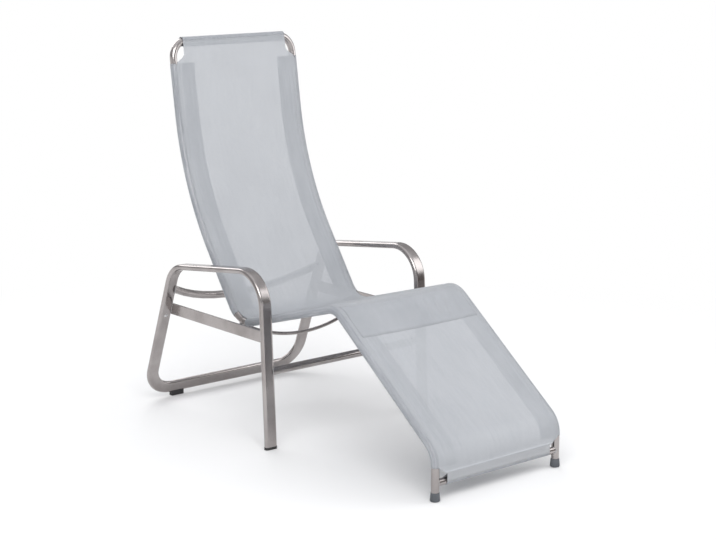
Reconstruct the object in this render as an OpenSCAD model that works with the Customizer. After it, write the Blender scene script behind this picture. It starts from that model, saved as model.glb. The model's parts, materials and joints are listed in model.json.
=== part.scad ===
// Tilting sun lounger: a rigid seat frame with a stretched sling, hung on two pivots
// between the arm loops of a bent-tube base. X runs across, Y from the foot end to the
// head end and Z up. The origin is on the floor, at the middle of the lounger's outline.

/* [Arm loops] */
// Width over the two arm loops
base_w = 705; // [690:1:760]
// Width of the loops' flat-oval tube
loop_w = 45; // [36:0.5:48]
// Thickness of the loops' flat-oval tube
loop_t = 19; // [16:0.5:22]
// Wall of the loops' tube
loop_wall = 2; // [1.5:0.1:3]
// Height of the arm line above the front legs
arm_front_h = 584; // [560:1:620]
// Set-back of the arm's front end from the front feet
arm_front_y = 27; // [10:1:40]
// Height of the arm line above the rear legs
arm_rear_h = 519; // [500:1:550]
// Set-back of the arm's rear end from the front feet
arm_rear_y = 540; // [520:1:570]
// Set-back of the rear floor bar from the front feet
floor_bar_y = 725; // [700:1:760]
// Bend radius between a front leg and its arm
arm_front_r = 110; // [70:1:130]
// Bend radius between an arm and its rear leg
arm_rear_r = 100; // [70:1:120]
// Bend radius between a rear leg and the floor bar
floor_bar_r = 90; // [60:1:110]
// Length of the sleeve that joins the two loops in the floor bar
sleeve_l = 120; // [80:1:200]

/* [Feet] */
// Height of the caps under the front legs
cap_h = 8; // [5:0.5:15]
// How far a cap's plug reaches into the leg
cap_plug_l = 12; // [8:0.5:20]
// Rim of a cap around the leg
cap_rim = 1; // [0.5:0.1:2]
// Height of the glides under the floor bar
glide_h = 14; // [10:0.5:20]
// Length of a glide across the lounger
glide_l = 50; // [30:1:80]
// Depth of a glide
glide_d = 17; // [14:0.5:24]
// Distance from the end of the floor bar's bend to a glide
glide_inset = 6; // [0:0.5:30]

/* [Crossbars] */
// Diameter of the crossbar between the front legs
front_bar_d = 26; // [20:0.5:30]
// Height of the crossbar between the front legs
front_bar_h = 256; // [200:1:290]
// Diameter of the bowed bar that stops the tilt
stop_bar_d = 27; // [20:0.5:30]
// Height of the stop bar at the rear legs
stop_bar_h = 429; // [422:1:445]
// How far the stop bar bows out
stop_bar_bow = 94; // [80:1:115]
// Direction of that bow below the horizontal
stop_bar_dip = 45; // [30:1:60]
// Wall of the round crossbars
bar_wall = 2; // [1.5:0.1:3]

/* [Side bars] */
// Height of a side bar
side_bar_w = 38; // [34:0.5:44]
// Thickness of a side bar
side_bar_t = 8; // [6:0.5:10]
// Height of the side bars' middle above the floor
side_bar_h = 357; // [352:1:361]
// How far a side bar stands in between its legs
side_bar_in = 4; // [2:0.5:7]
// Diameter of the screws in the rear legs
leg_screw_d = 6; // [5:0.5:8]
// Diameter of those screws' heads
leg_screw_head_d = 14; // [11:0.5:16]
// Height of those screws' heads
leg_screw_head_h = 3; // [2:0.5:4]
// Height of those screws above the floor
leg_screw_h = 337; // [320:1:345]

/* [Pivots] */
// Set-back of the pivots from the front feet
pivot_y = 250; // [235:1:265]
// Drop from a side bar's middle to its pivot
pivot_drop = 3; // [0:0.5:6]
// Diameter of a pivot pin
pin_d = 10; // [8:0.5:11]
// Wall of the plastic bush round a pin
bush_wall = 3; // [2:0.5:4]
// Thickness of a bush's flange
bush_flange_t = 2; // [1:0.5:3]
// Width of a bush's flange outside its barrel
bush_flange_w = 4; // [2:0.5:5]
// Wall of the spacer between a lug and a bush
spacer_wall = 1.8; // [1.5:0.1:2]
// Metal left over a bush on a side bar's outer face
bush_cover = 2; // [1:0.5:3]
// Running clearance round a pin
pin_gap = 0.05; // [0.02:0.01:0.1]
// Clearance between a spacer and its bush
side_gap = 0.3; // [0.2:0.1:0.5]
// Thickness of a pivot lug
lug_t = 13; // [12:0.5:16]
// Width of a pivot lug
lug_w = 26; // [26:0.5:30]
// Width of a pivot lug where it meets its rail
lug_neck_w = 23; // [16:0.5:25]
// Drop from a rail's centre line to its pivot
lug_drop = 18; // [18:0.1:20]
// Angle from a pivot up to its rail's bend centre, forward of upright
lug_lean = 11.5; // [5:0.1:20]

/* [Seat frame] */
// Space between a rail and the side bar beside it
rail_space = 37; // [33:1:50]
// Diameter of the rails
rail_d = 25; // [22:0.5:25]
// Wall of the rails
rail_wall = 2; // [1.5:0.1:3]
// Slope of the lower back
back_slope = 55.1; // [50:0.1:58]
// Slope of the upper back
head_slope = 81.6; // [78:0.1:85]
// Slope of the seat
seat_slope = 16.1; // [14:0.1:18]
// Slope of the footrest
footrest_slope = 37.2; // [35:0.1:39]
// Length of the lower back between bend corners
back_l = 531; // [510:1:560]
// Length of the upper back, from its bend corner to the top tube
head_l = 490; // [460:1:520]
// Length of the seat between bend corners
seat_l = 532; // [515:1:545]
// Length of the footrest between bend corners
footrest_l = 587; // [575:1:600]
// Bend radius between the lower and the upper back
back_r = 1030; // [900:10:1100]
// Bend radius between seat and back
hip_r = 99; // [90:1:105]
// Bend radius between seat and footrest
knee_r = 75; // [60:1:90]
// Bend radius between footrest and foot legs
ankle_r = 80; // [60:1:90]
// Bend radius at the top corners
top_r = 60; // [50:1:70]
// Diameter of the crossbar between the foot legs
foot_bar_d = 22; // [18:0.5:24]
// Height of the crossbar between the foot legs
foot_bar_h = 55; // [50:1:60]
// Diameter of the bowed rod between the pivots
rod_d = 12; // [10:0.5:14]
// How far that rod bows down
rod_bow = 62; // [50:1:75]

/* [Rubber tips] */
// Height of the tips on the foot legs
tip_h = 27; // [22:0.5:32]
// Diameter of a tip on the floor
tip_d = 31; // [29:0.5:36]
// Wall of a tip at its mouth
tip_wall = 1; // [0.6:0.1:1.4]
// Thickness of a tip under the leg
tip_floor = 5; // [3:0.5:8]

/* [Sling] */
// Thickness of the sling cloth
cloth_t = 0.9; // [0.6:0.1:1.2]
// Clearance between cloth and tube
cloth_gap = 0.3; // [0.2:0.1:0.5]
// Sag of the cloth between the rails
cloth_sag = 8; // [4:0.5:12]
// Width of the doubled hem inside a rail
hem_w = 65; // [40:1:80]
// Distance from a rail's centre line to the seam that closes its pocket
seam_in = 24; // [20:1:30]
// Length of the top hem past its tube's centre line
top_hem_l = 22; // [18:1:30]
// Length of the foot hem past its tube's centre line
foot_hem_l = 31; // [25:1:36]
// Distance from a rail's centre line to the ends of the top and foot hems
hem_end_in = 37; // [34:1:50]
// Length of the corner cut-outs along the rails
corner_cut_l = 76; // [70:1:100]
// Height above the floor where the rail pockets end
pocket_end_h = 104; // [95:1:110]
// Length of the slit behind a pivot lug
slit_back_l = 38; // [30:1:60]
// Length of the slit before a pivot lug
slit_front_l = 24; // [18:1:30]
// Length of the second layer below the knee
knee_band_l = 135; // [100:1:160]

/* [Hidden] */
$fn = 64;
LEFT = -1;
RIGHT = 1;
// Overrun of every cutting shape
cut = 1;
// Gap between stitched layers of cloth
layer_gap = 0.2;
// Reach of a tube's runs into its bends, and how much thicker a bend's wall is on each face
run_lap = 0.5;
bend_step = 0.02;
// Clearance of plugs and sleeves inside a tube
plug_gap = 0.3;

// Places on the base, from the front feet: [y, z]. The crossbars end where a loop's edge
// has its full thickness
loop_x = (base_w - loop_w) / 2;
loop_inner_x = base_w / 2 - loop_w;
bar_end_x = loop_inner_x + loop_t / 2;
rear_leg_slope = atan2(arm_rear_h - glide_h, floor_bar_y - arm_rear_y);
oval_reach = (loop_w - loop_t) / 2;
floor_bar_z = glide_h + loop_t / 2 + oval_reach * sin(rear_leg_slope);
arm_front = [arm_front_y, arm_front_h];
arm_rear = [arm_rear_y, arm_rear_h];
floor_bar = [floor_bar_y, floor_bar_z];
rear_leg_dir = (floor_bar - arm_rear) / norm(floor_bar - arm_rear);
loop_corners = [[0, 0], arm_front, arm_rear, floor_bar - rear_leg_dir * floor_bar_r];
loop_radii = [0, arm_front_r, arm_rear_r, 0];
pivot = [pivot_y, side_bar_h - pivot_drop];
side_bar_x = loop_inner_x + side_bar_in;

// Places on the seat frame, hung from the pivot: [y, z]
function heading(a) = [cos(a), sin(a)];
rail_r = rail_d / 2;
rail_x = side_bar_x - side_bar_t - rail_space - rail_r;
rail_gauge = 2 * rail_x;
hip_centre = pivot + (hip_r + lug_drop) * [-sin(lug_lean), cos(lug_lean)];
hip = hip_centre
    - heading((back_slope + 180 - seat_slope) / 2) * hip_r / cos((back_slope + seat_slope) / 2);
back_corner = hip + back_l * heading(back_slope);
top = back_corner + head_l * heading(head_slope);
knee = hip + seat_l * heading(180 - seat_slope);
ankle = knee + footrest_l * heading(180 + footrest_slope);
foot = [ankle[0], tip_floor];
rail_corners = [top, back_corner, hip, knee, ankle, foot];
rail_radii = [0, back_r, hip_r, knee_r, ankle_r, 0];

// The outline's ends and its middle, where the origin lies
front_end = ankle[0] - tip_d / 2;
rear_end = floor_bar_y + oval_reach * abs(rear_leg_dir[0]) + loop_t / 2;
middle_y = (front_end + rear_end) / 2;

// A path is a list of steps: a run is [length], a bend is [radius, angle, side] and a
// roll about the path is [0, angle]. A bend's side is 1 towards the user, else -1.
function turn(a, b) = atan2(a[0] * b[1] - a[1] * b[0], a * b);
function corner_turn(p, i) =
    i == 0 || i == len(p) - 1 ? 0 : turn(p[i] - p[i - 1], p[i + 1] - p[i]);
function tangent_l(p, r, i) = r[i] * tan(abs(corner_turn(p, i)) / 2);
function steps(p, r) = [
    for (i = [1:len(p) - 1])
        each [
            [norm(p[i] - p[i - 1]) - tangent_l(p, r, i - 1) - tangent_l(p, r, i)],
            if (i < len(p) - 1)
                [r[i], abs(corner_turn(p, i)), -sign(corner_turn(p, i))]
        ]
];
function arc_l(r, a) = r * a * PI / 180;
function step_l(s) = len(s) == 1 ? s[0] : arc_l(s[0], s[1]);
function total(list, n, i = 0) = i >= n ? 0 : list[i] + total(list, n, i + 1);
function starts(path) =
    let (l = [for (s = path) step_l(s)])
        [for (i = [0:len(path)]) total(l, i)];

loop_path = concat(
    steps(loop_corners, loop_radii),
    [[0, -90], [floor_bar_r, 90, 1], [loop_x - floor_bar_r]]
);
rail_path = steps(rail_corners, rail_radii);
rail_starts = starts(rail_path);
rail_end = rail_starts[len(rail_path)];
lug_at = rail_starts[3] + arc_l(hip_r, back_slope - lug_lean);
knee_at = (rail_starts[5] + rail_starts[6]) / 2;
pocket_end = rail_end - (pocket_end_h - tip_floor);
foot_bar_at = rail_end - (foot_bar_h - tip_floor);

// A place on the rail path at a distance along it: [[y, z], direction]
function bend_end(q, s, a) =
    let (c = q[0] + s[2] * s[0] * heading(q[1] - 90))
        [c - s[2] * s[0] * heading(q[1] - 90 - s[2] * a), q[1] - s[2] * a];
function ahead(q, s, d) =
    len(s) == 1 ? [q[0] + d * heading(q[1]), q[1]] : bend_end(q, s, d / arc_l(s[0], 1));
function walk(path, q, d, i = 0) =
    i == len(path) - 1 || d <= step_l(path[i])
        ? ahead(q, path[i], d)
        : walk(path, ahead(q, path[i], step_l(path[i])), d - step_l(path[i]), i + 1);
function rail_place(d) = walk(rail_path, [top, 180 + head_slope], d);

// Distances along the rails at which a swept form has a ring
bend_rings = [12, 12, 9, 9];
rail_marks = [
    for (b = [0:3])
        for (k = [0:bend_rings[b]])
            rail_starts[2 * b + 1] + k / bend_rings[b] * step_l(rail_path[2 * b + 1])
];
function marks(from, to) =
    let (inside = [for (m = concat(rail_marks, slack_marks)) if (m > from + cut && m < to - cut) m])
        sorted(concat([from], inside, [to]));
function sorted(v) =
    len(v) < 2
        ? v
        : let (m = v[floor(len(v) / 2)])
            concat(
                sorted([for (x = v) if (x < m) x]),
                [m],
                sorted([for (x = v) if (x > m) x])
            );

// Moves to the end of a step, or of a whole path
module along(s) {
    if (len(s) == 1)
        translate([0, 0, s[0]])
            children();
    else if (len(s) == 2)
        rotate([0, 0, s[1]])
            children();
    else
        translate([0, s[2] * s[0], 0])
            rotate([-s[2] * s[1], 0, 0])
                translate([0, -s[2] * s[0], 0])
                    children();
}

// Sweeps two flat shapes along a path with true curves: the runs take the first, and reach a
// hair into the bends, which take the second
module sweep(path, i = 0, roll = 0) {
    if (i < len(path)) {
        s = path[i];
        before = i == 0 ? 0 : run_lap;
        after = i == len(path) - 1 ? 0 : run_lap;
        if (len(s) == 1)
            translate([0, 0, -before])
                linear_extrude(height = s[0] + before + after)
                    rotate(-roll)
                        children(0);
        else if (len(s) == 3)
            translate([0, s[2] * s[0], 0])
                rotate([90, 0, -90 * s[2]])
                    rotate_extrude(angle = s[1])
                        translate([s[0], 0])
                            rotate(90 * s[2])
                                mirror([1, 0])
                                    rotate(-roll)
                                        children(1);
        along(s)
            sweep(path, i + 1, roll + (len(s) == 2 ? s[1] : 0)) {
                children(0);
                children(1);
            }
    }
}

// Stands at the start of a line of corners, looking along it
module at_start(corners) {
    d = corners[1] - corners[0];
    translate([0, corners[0][0], corners[0][1]])
        rotate([atan2(-d[0], d[1]), 0, 0])
            children();
}

// Stands at [y, z] with the lounger's axes
module at(p) {
    translate([0, p[0], p[1]])
        children();
}

// Stands on the rail path at a distance along it: Z runs along the rail, Y to the user
module on_rail(d) {
    q = rail_place(d);
    at(q[0])
        rotate([q[1] - 90, 0, 0])
            children();
}

// Puts a piece in place, with the origin at the middle of the outline
module placed(side = RIGHT) {
    translate([0, -middle_y, 0])
        scale([side, 1, 1])
            children();
}

// Joins rings of points into one closed skin
function skin_faces(n, rings) = [
    for (k = [0:rings - 2])
        for (i = [0:n - 1])
            let (a = k * n + i, b = k * n + (i + 1) % n)
                each [[a, a + n, b + n], [a, b + n, b]]
];
function flipped(faces) = [for (f = faces) [f[0], f[2], f[1]]];
function in_place(d, section) =
    let (q = rail_place(d), up = heading(q[1] - 90))
        [for (p = section) [p[0], q[0][0] + p[1] * up[0], q[0][1] + p[1] * up[1]]];

// A ribbon of cloth along the rail path; its section may change along the way
module ribbon_sweep(sections, at_marks) {
    n = len(sections[0]);
    rings = len(at_marks);
    // A ribbon's section is two rows of points, so its ends are closed pair by pair
    function end_faces(base) = [
        for (i = [0:n / 2 - 2])
            each [
                [base + i, base + i + 1, base + n - 2 - i],
                [base + i, base + n - 2 - i, base + n - 1 - i]
            ]
    ];
    points = [for (k = [0:rings - 1]) each in_place(at_marks[k], sections[k])];
    polyhedron(
        points,
        concat(skin_faces(n, rings), end_faces(0), flipped(end_faces(n * (rings - 1))))
    );
}

// A line of points widened to a ribbon of the given thickness, anticlockwise
function side_of(line, i) =
    let (d = line[min(i + 1, len(line) - 1)] - line[max(i - 1, 0)])
        [-d[1], d[0]] / norm(d);
function ribbon(line, t) = concat(
    [for (i = [0:len(line) - 1]) line[i] - side_of(line, i) * t / 2],
    [for (i = [len(line) - 1:-1:0]) line[i] + side_of(line, i) * t / 2]
);

// The loops' flat-oval section, and a round tube's
module oval(w, t) {
    square([w - t, t], center = true);
    for (side = [LEFT, RIGHT])
        translate([side * (w - t) / 2, 0])
            circle(d = t);
}

module oval_tube(fuller = 0) {
    difference() {
        oval(loop_w + 2 * fuller, loop_t + 2 * fuller);
        oval(loop_w - 2 * loop_wall - 2 * fuller, loop_t - 2 * loop_wall - 2 * fuller);
    }
}

module round_tube(d, wall) {
    difference() {
        circle(d = d);
        circle(d = d - 2 * wall);
    }
}

// Where the middles of the legs are at a height
rear_leg_angle = atan2(-rear_leg_dir[1], rear_leg_dir[0]);
function front_leg_y(h) = arm_front_y * h / arm_front_h;
function rear_leg_y(h) = floor_bar_y - (h - floor_bar_z) / tan(rear_leg_angle);

// The right loop's legs as solid bars, to shape what meets them
module front_leg_core() {
    translate([loop_x, 0, 0])
        at_start(loop_corners)
            linear_extrude(height = arm_front_h)
                oval(loop_w, loop_t);
}

module rear_leg_core() {
    translate([loop_x, 0, 0])
        at_start([floor_bar, arm_rear])
            linear_extrude(height = norm(arm_rear - floor_bar))
                oval(loop_w, loop_t);
}

// The screw hole stands square to the front of the rear leg
module at_leg_screw() {
    translate([loop_x, 0, 0])
        at([rear_leg_y(leg_screw_h), leg_screw_h])
            rotate([180 - rear_leg_angle, 0, 0])
                translate([0, 0, loop_t / 2])
                    children();
}

// One arm loop: front leg, arm, rear leg and half of the floor bar, drawn on the left
module loop() {
    color("silver")
        difference() {
            translate([-loop_x, 0, 0])
                at_start(loop_corners)
                    sweep(loop_path) {
                        oval_tube();
                        oval_tube(bend_step);
                    }
            translate([-base_w, -loop_w, -loop_w])
                cube([base_w, 2 * loop_w, loop_w + cap_h]);
            scale([-1, 1, 1])
                at_leg_screw()
                    translate([0, 0, -loop_t / 2])
                        cylinder(d = leg_screw_d + 2 * pin_gap, h = loop_t);
        }
}

module floor_bar_sleeve() {
    inside_w = loop_w - 2 * loop_wall - 2 * plug_gap;
    inside_t = loop_t - 2 * loop_wall - 2 * plug_gap;
    color("gray")
        at(floor_bar)
            rotate([90 - rear_leg_angle, 0, 0])
                rotate([0, 90, 0])
                    rotate([0, 0, 90])
                        linear_extrude(height = sleeve_l, center = true)
                            difference() {
                                rotate(90)
                                    oval(inside_w, inside_t);
                                rotate(90)
                                    oval(inside_w - 2 * loop_wall, inside_t - 2 * loop_wall);
                            }
}

// A cap under the right front leg: a foot with a plug that stands in the tube
module front_cap() {
    plug_w = loop_w - 2 * loop_wall - 4 * plug_gap;
    plug_t = loop_t - 2 * loop_wall - 4 * plug_gap;
    color("black")
        translate([loop_x, front_leg_y(cap_h), 0]) {
            linear_extrude(height = cap_h)
                oval(loop_w + 2 * cap_rim, loop_t + 2 * cap_rim);
            translate([0, 0, cap_h - cut])
                linear_extrude(height = cap_plug_l + cut)
                    oval(plug_w, plug_t);
        }
}

// A glide under the right end of the floor bar, hollowed to the bar's lower edge
module rear_glide() {
    lower_edge = floor_bar + rear_leg_dir * oval_reach;
    color("black")
        difference() {
            translate([loop_x - floor_bar_r - glide_inset - glide_l, lower_edge[0] - glide_d / 2, 0])
                cube([glide_l, glide_d, lower_edge[1] - loop_t / 4]);
            translate([0, lower_edge[0], lower_edge[1]])
                rotate([0, 90, 0])
                    cylinder(d = loop_t, h = base_w);
        }
}

module front_crossbar() {
    color("silver")
        difference() {
            translate([-bar_end_x, front_leg_y(front_bar_h), front_bar_h])
                rotate([0, 90, 0])
                    linear_extrude(height = 2 * bar_end_x)
                        round_tube(front_bar_d, bar_wall);
            for (side = [LEFT, RIGHT])
                scale([side, 1, 1])
                    front_leg_core();
        }
}

// A bar between two side walls, bowed along an arc; Y points away from the bow
module bowed_bar(half_l, bow, reach, d) {
    r = (half_l * half_l + bow * bow) / (2 * bow);
    half_arc = asin((reach + d) / r);
    intersection() {
        translate([0, r - bow, 0])
            rotate([0, 0, -90])
                rotate([0, 0, -half_arc])
                    rotate_extrude(angle = 2 * half_arc)
                        translate([r, 0])
                            children();
        translate([-reach, -2 * r, -r])
            cube([2 * reach, 4 * r, 2 * r]);
    }
}

module stop_bar() {
    color("silver")
        difference() {
            at([rear_leg_y(stop_bar_h), stop_bar_h])
                rotate([180 - stop_bar_dip, 0, 0])
                    bowed_bar(loop_inner_x, stop_bar_bow, bar_end_x, stop_bar_d)
                        round_tube(stop_bar_d, bar_wall);
            for (side = [LEFT, RIGHT])
                scale([side, 1, 1])
                    rear_leg_core();
        }
}

// The right side bar stands between the legs and follows their slopes at its ends
module side_bar() {
    low = side_bar_h - side_bar_w / 2;
    high = side_bar_h + side_bar_w / 2;
    end = loop_t / 4;
    color("silver")
        difference() {
            translate([side_bar_x - side_bar_t, 0, 0])
                rotate([90, 0, 90])
                    linear_extrude(height = side_bar_t)
                        polygon([
                            [front_leg_y(low) + end, low],
                            [rear_leg_y(low) - end, low],
                            [rear_leg_y(high) - end, high],
                            [front_leg_y(high) + end, high]
                        ]);
            front_leg_core();
            rear_leg_core();
            translate([side_bar_x - side_bar_t - cut, 0, 0])
                at(pivot)
                    rotate([0, 90, 0])
                        cylinder(d = pin_d + 2 * bush_wall, h = side_bar_t + cut - bush_cover);
        }
}

module leg_screw() {
    dome_r = (pow(leg_screw_head_d / 2, 2) + pow(leg_screw_head_h, 2)) / (2 * leg_screw_head_h);
    color("gainsboro")
        at_leg_screw() {
            translate([0, 0, -loop_t / 2])
                cylinder(d = leg_screw_d, h = loop_t / 2 + leg_screw_head_h / 2);
            intersection() {
                translate([0, 0, leg_screw_head_h - dome_r])
                    sphere(r = dome_r);
                cylinder(d = leg_screw_head_d, h = leg_screw_head_h);
            }
        }
}

// Rings round the right pivot's axis, from one distance across to another
module on_pivot(from, to, d, bore = 0) {
    translate([from, 0, 0])
        at(pivot)
            rotate([0, 90, 0])
                difference() {
                    cylinder(d = d, h = to - from);
                    if (bore > 0)
                        translate([0, 0, -cut])
                            cylinder(d = bore, h = to - from + 2 * cut);
                }
}
bush_x = side_bar_x - side_bar_t - bush_flange_t;
bush_end_x = side_bar_x - bush_cover;
lug_inner_x = rail_x - lug_t / 2;
lug_outer_x = rail_x + lug_t / 2;

module pivot_bush() {
    bore = pin_d + 2 * pin_gap;
    barrel_d = pin_d + 2 * bush_wall;
    color("black") {
        on_pivot(bush_x, bush_end_x, barrel_d, bore);
        on_pivot(bush_x, bush_x + bush_flange_t, barrel_d + 2 * bush_flange_w, bore);
    }
}

module pivot_spacer()
    color("gainsboro")
        on_pivot(lug_outer_x, bush_x - side_gap, pin_d + 2 * pin_gap + 2 * spacer_wall, pin_d + 2 * pin_gap);

module pivot_pin()
    color("gainsboro")
        on_pivot(lug_inner_x, bush_end_x - side_gap, pin_d);

// A plate that hangs under the rail's hip bend and carries the pin
module pivot_lug() {
    color("silver")
        difference() {
            translate([lug_inner_x, 0, 0])
                at(pivot)
                    rotate([lug_lean, 0, 0])
                        rotate([90, 0, 90])
                            linear_extrude(height = lug_t)
                                difference() {
                                    union() {
                                        circle(d = lug_w);
                                        translate([-lug_neck_w / 2, 0])
                                            square([lug_neck_w, lug_drop]);
                                    }
                                    circle(d = pin_d + 2 * pin_gap);
                                }
            translate([rail_x, 0, 0])
                at(hip_centre)
                    rotate([0, 90, 0])
                        rotate_extrude()
                            translate([hip_r, 0])
                                rotate(180)
                                    circle(d = rail_d);
        }
}

// The rail starts where the top tube's corner ends
module rail() {
    path = concat([[rail_path[0][0] - top_r]], [for (i = [1:len(rail_path) - 1]) rail_path[i]]);
    color("silver")
        translate([rail_x, 0, 0])
            on_rail(top_r)
                sweep(path) {
                    round_tube(rail_d, rail_wall);
                    round_tube(rail_d + 2 * bend_step, rail_wall + 2 * bend_step);
                }
}

// The top tube lies in the plane of the upper back: two corners and what joins them
module top_tube() {
    color("silver")
        on_rail(top_r) {
            translate([-rail_x + top_r, 0, -top_r])
                rotate([0, 90, 0])
                    linear_extrude(height = rail_gauge - 2 * top_r)
                        round_tube(rail_d, rail_wall);
            for (side = [LEFT, RIGHT])
                scale([side, 1, 1])
                    translate([rail_x - top_r, 0, 0])
                        rotate([-90, 0, 0])
                            rotate_extrude(angle = 90)
                                translate([top_r, 0])
                                    round_tube(rail_d, rail_wall);
        }
}

module foot_crossbar() {
    color("silver")
        difference() {
            translate([-rail_x, foot[0], foot_bar_h])
                rotate([0, 90, 0])
                    linear_extrude(height = rail_gauge)
                        round_tube(foot_bar_d, bar_wall);
            for (side = [LEFT, RIGHT])
                translate([side * rail_x, foot[0], 0])
                    cylinder(d = rail_d, h = 2 * foot_bar_h);
        }
}

module bowed_rod() {
    color("silver")
        at(pivot)
            rotate([90, 0, 0])
                bowed_bar(lug_inner_x, rod_bow, lug_inner_x, rod_d)
                    circle(d = rod_d);
}

// A flared ferrule on the right foot leg
module rubber_tip() {
    mouth_r = rail_r + tip_wall;
    edge = tip_floor / 2;
    color("dimgray")
        translate([rail_x, foot[0], 0])
            rotate_extrude()
                polygon([
                    [0, 0],
                    [tip_d / 2 - edge, 0],
                    [tip_d / 2, edge],
                    [tip_d / 2, tip_floor],
                    [mouth_r, tip_h],
                    [rail_r + pin_gap, tip_h],
                    [rail_r + pin_gap, tip_floor],
                    [0, tip_floor]
                ]);
}

// The sling's own measures: how wide and how slack the cloth is at a distance along it
slack_share = 1.5;
cut_share = 0.7;
seam_share = 0.85;
hem_end_x = rail_x - hem_end_in;
cloth_h = rail_r + cloth_gap + cloth_t / 2;
foot_cut_at = pocket_end + (foot_bar_at - pocket_end) / 2;
function panel_half(d) = lookup(d, [
    [0, hem_end_x],
    [cut_at, hem_end_x],
    [corner_cut_l, rail_x],
    [pocket_end, rail_x],
    [foot_cut_at, hem_end_x],
    [foot_bar_at, hem_end_x]
]);
slack_l = slack_share * corner_cut_l;
cut_at = cut_share * corner_cut_l;
function slack(d) =
    cloth_sag * max(0, min(1, (d - top_hem_l) / slack_l, (foot_bar_at - foot_hem_l - d) / slack_l));
slack_marks = [
    top_hem_l, cut_at, corner_cut_l, top_hem_l + slack_l,
    foot_bar_at - foot_hem_l - slack_l, pocket_end, foot_cut_at, foot_bar_at - foot_hem_l
];
function cloth_line(x, d, h = cloth_h) = [x, h - slack(d) * (1 - pow(x / rail_x, 2))];

// Cloth that leaves a tube for a point beside it: the angle where it leaves the tube
function leaves_at(e, r) = atan2(e[1], e[0]) + acos(r / norm(e));

// One layer of cloth across the lounger, at a height over the rails' centre lines
module cloth_layer(at_marks, half, h) {
    across = 8;
    ribbon_sweep(
        [
            for (d = at_marks)
                let (w = min(half, panel_half(d)))
                    ribbon([for (i = [0:across]) cloth_line(w * (2 * i / across - 1), d, h)], cloth_t)
        ],
        at_marks
    );
}

module sling_panel()
    color("lightgray")
        cloth_layer(
            marks(0, foot_bar_at),
            rail_x,
            cloth_h
        );

module knee_band()
    color("lightgray")
        cloth_layer(
            marks(knee_at, knee_at + knee_band_l),
            rail_x - rail_r,
            cloth_h + cloth_t + layer_gap
        );

// A pocket round the right rail: the cloth turns under the rail and runs back inside as a hem
module rail_pocket(from, to, hem) {
    turns = 10;
    at_marks = marks(from, to);
    under = cloth_h - cloth_t - layer_gap;
    // The wrap's flats keep the cloth's clearance from the rail, so its corners stand off more
    widest_wrap = 270;
    wrap_r = cloth_h / cos(widest_wrap / turns / 2);
    last = acos(layer_gap / wrap_r);
    function seam(d) = cloth_line(rail_x - seam_in, d, under);
    function below(d) = leaves_at(seam(d) - [rail_x, 0], wrap_r) - 360;
    color("lightgray")
        ribbon_sweep(
            [
                for (d = at_marks)
                    ribbon(
                        concat(
                            [
                                cloth_line(rail_x - rail_r - hem, d, under),
                                cloth_line(rail_x - rail_r - hem / 2, d, under),
                                seam(d)
                            ],
                            [
                                for (i = [0:turns])
                                    [rail_x, 0]
                                        + wrap_r * heading(below(d) + (last - below(d)) * i / turns)
                            ]
                        ),
                        cloth_t
                    )
            ],
            at_marks
        );
}

// A hem round a cross tube: over the tube from the user's side and back to the cloth, loose
// enough for a tube that drops in it
module tube_hem(tube_d, l, drop = 0) {
    r = tube_d / 2 + cloth_gap + cloth_t / 2;
    turns = 10;
    under = cloth_h - cloth_t - layer_gap;
    seam = [under, l * seam_share];
    wrap = 180 - leaves_at(seam - [0, drop], r);
    color("lightgray")
        rotate([90, 0, 90])
            linear_extrude(height = 2 * hem_end_x, center = true)
                polygon(ribbon(
                    concat(
                        [[cloth_h, -layer_gap], [cloth_h, -layer_gap - cloth_t]],
                        [for (i = [1:turns]) r * heading(-180 * i / turns)],
                        [for (i = [1:turns]) [0, drop] + r * heading(-180 - wrap * i / turns)],
                        [seam, [under, l]]
                    ),
                    cloth_t
                ));
}

// The top tube's corners have begun to turn where the hem ends
top_hem_drop = let (over = hem_end_x - rail_x + top_r, r = top_r - rail_r)
    over > 0 ? r - sqrt(r * r - over * over) : 0;

module top_hem()
    on_rail(0)
        tube_hem(rail_d, top_hem_l, top_hem_drop);

module foot_hem()
    on_rail(foot_bar_at)
        scale([1, 1, -1])
            tube_hem(foot_bar_d, foot_hem_l);

placed() loop();  // left_loop
placed(LEFT) loop();  // right_loop
placed() floor_bar_sleeve();
placed() front_crossbar();
placed() stop_bar();
placed(LEFT) side_bar();  // left_side_bar
placed() side_bar();  // right_side_bar
placed(LEFT) leg_screw();  // left_leg_screw
placed() leg_screw();  // right_leg_screw
placed(LEFT) front_cap();  // left_front_cap
placed() front_cap();  // right_front_cap
placed(LEFT) rear_glide();  // left_rear_glide
placed() rear_glide();  // right_rear_glide
placed(LEFT) pivot_bush();  // left_pivot_bush
placed() pivot_bush();  // right_pivot_bush
placed(LEFT) rail();  // left_rail
placed() rail();  // right_rail
placed() top_tube();
placed() foot_crossbar();
placed() bowed_rod();
placed(LEFT) pivot_lug();  // left_pivot_lug
placed() pivot_lug();  // right_pivot_lug
placed(LEFT) pivot_pin();  // left_pivot_pin
placed() pivot_pin();  // right_pivot_pin
placed(LEFT) pivot_spacer();  // left_pivot_spacer
placed() pivot_spacer();  // right_pivot_spacer
placed(LEFT) rubber_tip();  // left_rubber_tip
placed() rubber_tip();  // right_rubber_tip
placed() sling_panel();
placed() top_hem();
placed() foot_hem();
placed() knee_band();
placed(LEFT) rail_pocket(corner_cut_l, lug_at - slit_back_l, hem_w);  // left_back_pocket
placed() rail_pocket(corner_cut_l, lug_at - slit_back_l, hem_w);  // right_back_pocket
placed(LEFT) rail_pocket(lug_at + slit_front_l, pocket_end, hem_w);  // left_seat_pocket
placed() rail_pocket(lug_at + slit_front_l, pocket_end, hem_w);  // right_seat_pocket
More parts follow.
